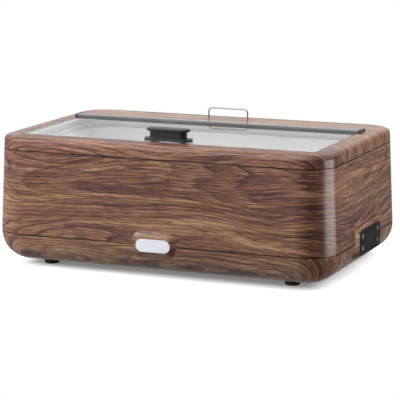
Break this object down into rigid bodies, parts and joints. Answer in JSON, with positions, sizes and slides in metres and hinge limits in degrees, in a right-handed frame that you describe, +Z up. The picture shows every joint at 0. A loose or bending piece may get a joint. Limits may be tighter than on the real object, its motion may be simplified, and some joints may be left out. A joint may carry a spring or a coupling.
{
  "type": "chafing dish",
  "caption": "Electric chafing dish: rounded wood-look case with a hinged glass lid, water pan, food pan, wire lid rest and a side control panel.",
  "frame": {"origin": "on the table, under the middle of the body (the raised panel and badge stand 2 mm off centre)", "axes": "+Z up, front with the badge towards -Y, control panel on the +X side"},
  "size_m": [0.6198, 0.4016, 0.2485],
  "materials": {
    "walnut_film": "walnut-look printed film, satin lacquer",
    "black_plastic": "moulded, satin",
    "black_gloss": "glossy black",
    "smoked_window": "smoked, clear lacquer",
    "button_grey": "dark grey, satin",
    "white_plate": "white, satin gloss",
    "rubber": "matt",
    "silicone": "translucent",
    "screw_steel": "zinc plated",
    "pan_steel": "pressed stainless, satin",
    "sheet_steel": "plain sheet",
    "wire_chrome": "polished wire",
    "clear_glass": "toughened, clear",
    "aluminium": "milled",
    "element_sheath": "oxidised",
    "ceramic": "unglazed",
    "sensor_black": "satin",
    "insulation": "pressed mineral fibre",
    "circuit_board": "solder mask",
    "brass": "nickel-free, bright",
    "washer_black": "matt"
  },
  "bodies": {
    "base": {"base_tray": "walnut_film", "body_shell": "walnut_film", "badge_bezel": "walnut_film", "panel_bezel": "walnut_film", "inlet_housing": "black_plastic", "control_panel": "black_gloss", "display_window": "smoked_window", "badge_plate": "white_plate", "foot_front_left": "rubber", "foot_rear_left": "rubber", "foot_front_right": "rubber", "foot_rear_right": "rubber", "foot_screws": "screw_steel", "body_screws": "screw_steel", "shield_screws": "screw_steel", "board_screws": "screw_steel", "inlet_screws": "screw_steel", "water_pan": "pan_steel", "heat_shield": "sheet_steel", "element_clamps": "sheet_steel", "heat_plate": "aluminium", "heating_element": "element_sheath", "element_terminals": "ceramic", "temperature_sensor": "sensor_black", "thermal_cutout": "sensor_black", "insulation": "insulation", "control_board": "circuit_board", "power_board": "circuit_board", "inlet_pins": "brass"},
    "frame": {"top_frame": "walnut_film", "drip_collar": "pan_steel", "collar_screws": "screw_steel", "hinge_ear_left": "black_plastic", "hinge_ear_right": "black_plastic", "ear_screws": "screw_steel", "hinge_pins": "screw_steel", "wire_bail": "wire_chrome", "bail_nuts": "screw_steel"},
    "lid": {"glass_lid": "clear_glass", "hinge_rail": "black_gloss", "lid_bumpers": "silicone", "knob_base": "black_plastic", "knob_grip": "black_plastic", "knob_washers": "washer_black", "knob_screws": "screw_steel"},
    "pan": {"food_pan": "pan_steel"},
    "power_button": {"button_power": "button_grey"},
    "timer_button": {"button_timer": "button_grey"},
    "plus_button": {"button_plus": "button_grey"},
    "minus_button": {"button_minus": "button_grey"}
  },
  "joints": [
    {"name": "frame_lift", "type": "slide", "parent": "base", "child": "frame", "axis": [0, 0, 1], "range_m": [0, 0.12]},
    {"name": "lid_hinge", "type": "hinge", "parent": "frame", "child": "lid", "pos_m": [0, 0.078, 0.2295], "axis": [-1, 0, 0], "range_deg": [0, 163]},
    {"name": "pan_lift", "type": "slide", "parent": "base", "child": "pan", "axis": [0, 0, 1], "range_m": [0, 0.006]},
    {"name": "power_press", "type": "slide", "parent": "base", "child": "power_button", "axis": [-1, 0, 0], "range_m": [0, 0.0011], "stiffness_N_per_m": 600},
    {"name": "timer_press", "type": "slide", "parent": "base", "child": "timer_button", "axis": [-1, 0, 0], "range_m": [0, 0.0011], "stiffness_N_per_m": 600},
    {"name": "plus_press", "type": "slide", "parent": "base", "child": "plus_button", "axis": [-1, 0, 0], "range_m": [0, 0.0011], "stiffness_N_per_m": 600},
    {"name": "minus_press", "type": "slide", "parent": "base", "child": "minus_button", "axis": [-1, 0, 0], "range_m": [0, 0.0011], "stiffness_N_per_m": 600}
  ]
}
